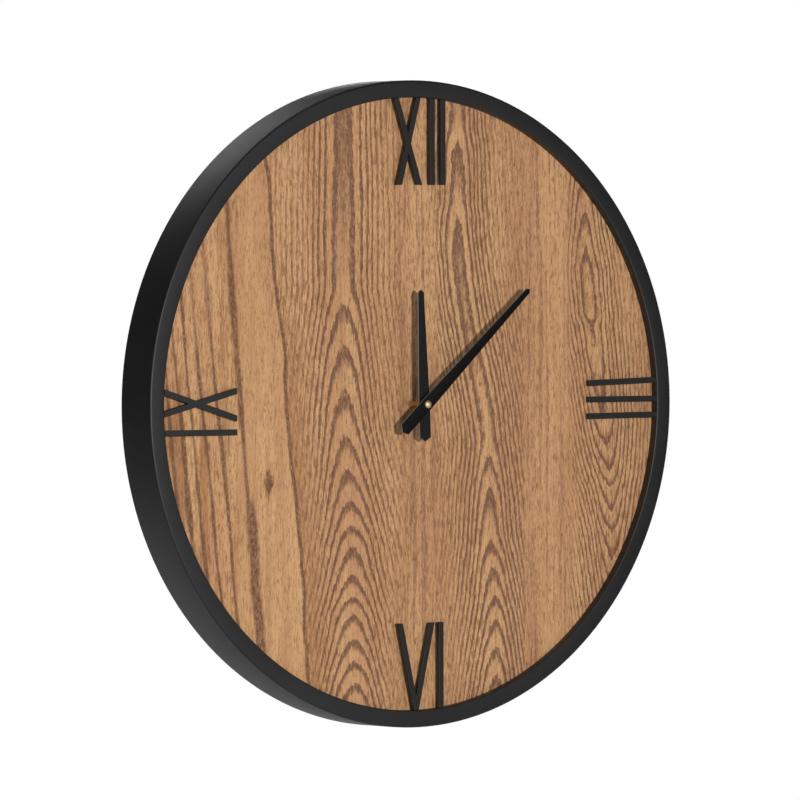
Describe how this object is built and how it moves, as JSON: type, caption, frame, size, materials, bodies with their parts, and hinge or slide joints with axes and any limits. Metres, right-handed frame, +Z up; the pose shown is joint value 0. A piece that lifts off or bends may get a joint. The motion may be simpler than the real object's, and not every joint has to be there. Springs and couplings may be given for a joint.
{
  "type": "wall clock",
  "caption": "Round wall clock with a wood dial in a deep black steel hoop, welded Roman numerals, two hands and a battery quartz movement.",
  "frame": {"origin": "where the dial's axis meets the wall plane, at the hoop's rear edge", "axes": "+Z up towards the twelve, +X towards the three, -Y out of the dial, away from the wall"},
  "size_m": [0.6, 0.067, 0.6],
  "materials": {
    "black_steel": "satin black powder coat",
    "ash_veneer": "oiled open-grain ash",
    "fibreboard": "raw sanded",
    "black_hand": "matt black",
    "brass": "turned and lacquered",
    "zinc_screw": "zinc plated",
    "case_plastic": "fine spark texture",
    "washer_rubber": "matt",
    "gear_plastic": "moulded acetal",
    "knob_plastic": "moulded",
    "cell_sleeve": "printed steel sleeve",
    "contact_metal": "nickel plated",
    "circuit_laminate": "solder resist",
    "potting": "epoxy",
    "crystal_can": "drawn can",
    "soft_iron": "stamped",
    "copper_wire": "enamelled copper",
    "magnet": "sintered"
  },
  "bodies": {
    "clock_case": {"battery_cell": "cell_sleeve", "board_screws": "zinc_screw", "board_tabs": "black_steel", "case_back": "case_plastic", "case_front": "case_plastic", "centre_bush": "brass", "circuit_board": "circuit_laminate", "coil_core": "soft_iron", "coil_spool": "gear_plastic", "coil_winding": "copper_wire", "dial_board": "fibreboard", "hanger_plate": "black_steel", "movement_screws": "zinc_screw", "negative_contact": "contact_metal", "numeral_nine_bar": "black_steel", "numeral_nine_cross": "black_steel", "numeral_six_bar": "black_steel", "numeral_six_vee": "black_steel", "numeral_three_low_bar": "black_steel", "numeral_three_middle_bar": "black_steel", "numeral_three_top_bar": "black_steel", "numeral_twelve_cross": "black_steel", "numeral_twelve_far_bar": "black_steel", "numeral_twelve_near_bar": "black_steel", "positive_contact": "contact_metal", "potted_chip": "potting", "quartz_crystal": "crystal_can", "rim_channel": "black_steel", "rubber_washer": "washer_rubber", "stator_plate": "soft_iron", "train_plate": "gear_plastic", "veneer_left_leaf": "ash_veneer", "veneer_middle_leaf": "ash_veneer", "veneer_right_leaf": "ash_veneer"},
    "minute_set": {"cannon_pinion": "brass", "minute_hand": "black_hand", "minute_hand_collar": "brass", "cap_nut": "brass"},
    "hour_set": {"hour_wheel": "gear_plastic", "hour_hand": "black_hand", "hour_hand_collar": "brass"},
    "setting_set": {"motion_wheel": "gear_plastic", "setting_knob": "knob_plastic"},
    "seconds_set": {"seconds_wheel": "gear_plastic"},
    "centre_set": {"centre_wheel": "gear_plastic"},
    "third_set": {"third_wheel": "gear_plastic"},
    "intermediate_set": {"intermediate_wheel": "gear_plastic"},
    "rotor_set": {"rotor_pinion": "gear_plastic", "rotor_magnet": "magnet"}
  },
  "joints": [
    {"name": "minute_hand_turn", "type": "hinge", "parent": "clock_case", "child": "minute_set", "pos_m": [0, -0.022, 0], "axis": [0, 1, 0], "continuous": true},
    {"name": "hour_hand_turn", "type": "hinge", "parent": "clock_case", "child": "hour_set", "pos_m": [0, -0.022, 0], "axis": [0, 1, 0], "continuous": true},
    {"name": "setting_knob_turn", "type": "hinge", "parent": "clock_case", "child": "setting_set", "pos_m": [0.0132, -0.022, 0], "axis": [0, 1, 0], "continuous": true},
    {"name": "seconds_wheel_turn", "type": "hinge", "parent": "clock_case", "child": "seconds_set", "pos_m": [0, -0.022, 0], "axis": [0, 1, 0], "continuous": true},
    {"name": "centre_wheel_turn", "type": "hinge", "parent": "clock_case", "child": "centre_set", "pos_m": [0, -0.022, 0], "axis": [0, 1, 0], "continuous": true},
    {"name": "third_wheel_turn", "type": "hinge", "parent": "clock_case", "child": "third_set", "pos_m": [-0.01224, -0.022, 0], "axis": [0, 1, 0], "continuous": true},
    {"name": "intermediate_wheel_turn", "type": "hinge", "parent": "clock_case", "child": "intermediate_set", "pos_m": [0, -0.022, 0.0105], "axis": [0, 1, 0], "continuous": true},
    {"name": "rotor_turn", "type": "hinge", "parent": "clock_case", "child": "rotor_set", "pos_m": [0.00624, -0.022, 0.0141], "axis": [0, 1, 0], "continuous": true}
  ],
  "couplings": [
    {"joint": "hour_hand_turn", "follows": "minute_hand_turn", "ratio": 0.083333},
    {"joint": "setting_knob_turn", "follows": "minute_hand_turn", "ratio": -0.33333},
    {"joint": "centre_wheel_turn", "follows": "seconds_wheel_turn", "ratio": 0.016667},
    {"joint": "third_wheel_turn", "follows": "seconds_wheel_turn", "ratio": -0.13333},
    {"joint": "intermediate_wheel_turn", "follows": "seconds_wheel_turn", "ratio": -6},
    {"joint": "rotor_turn", "follows": "seconds_wheel_turn", "ratio": 30}
  ]
}
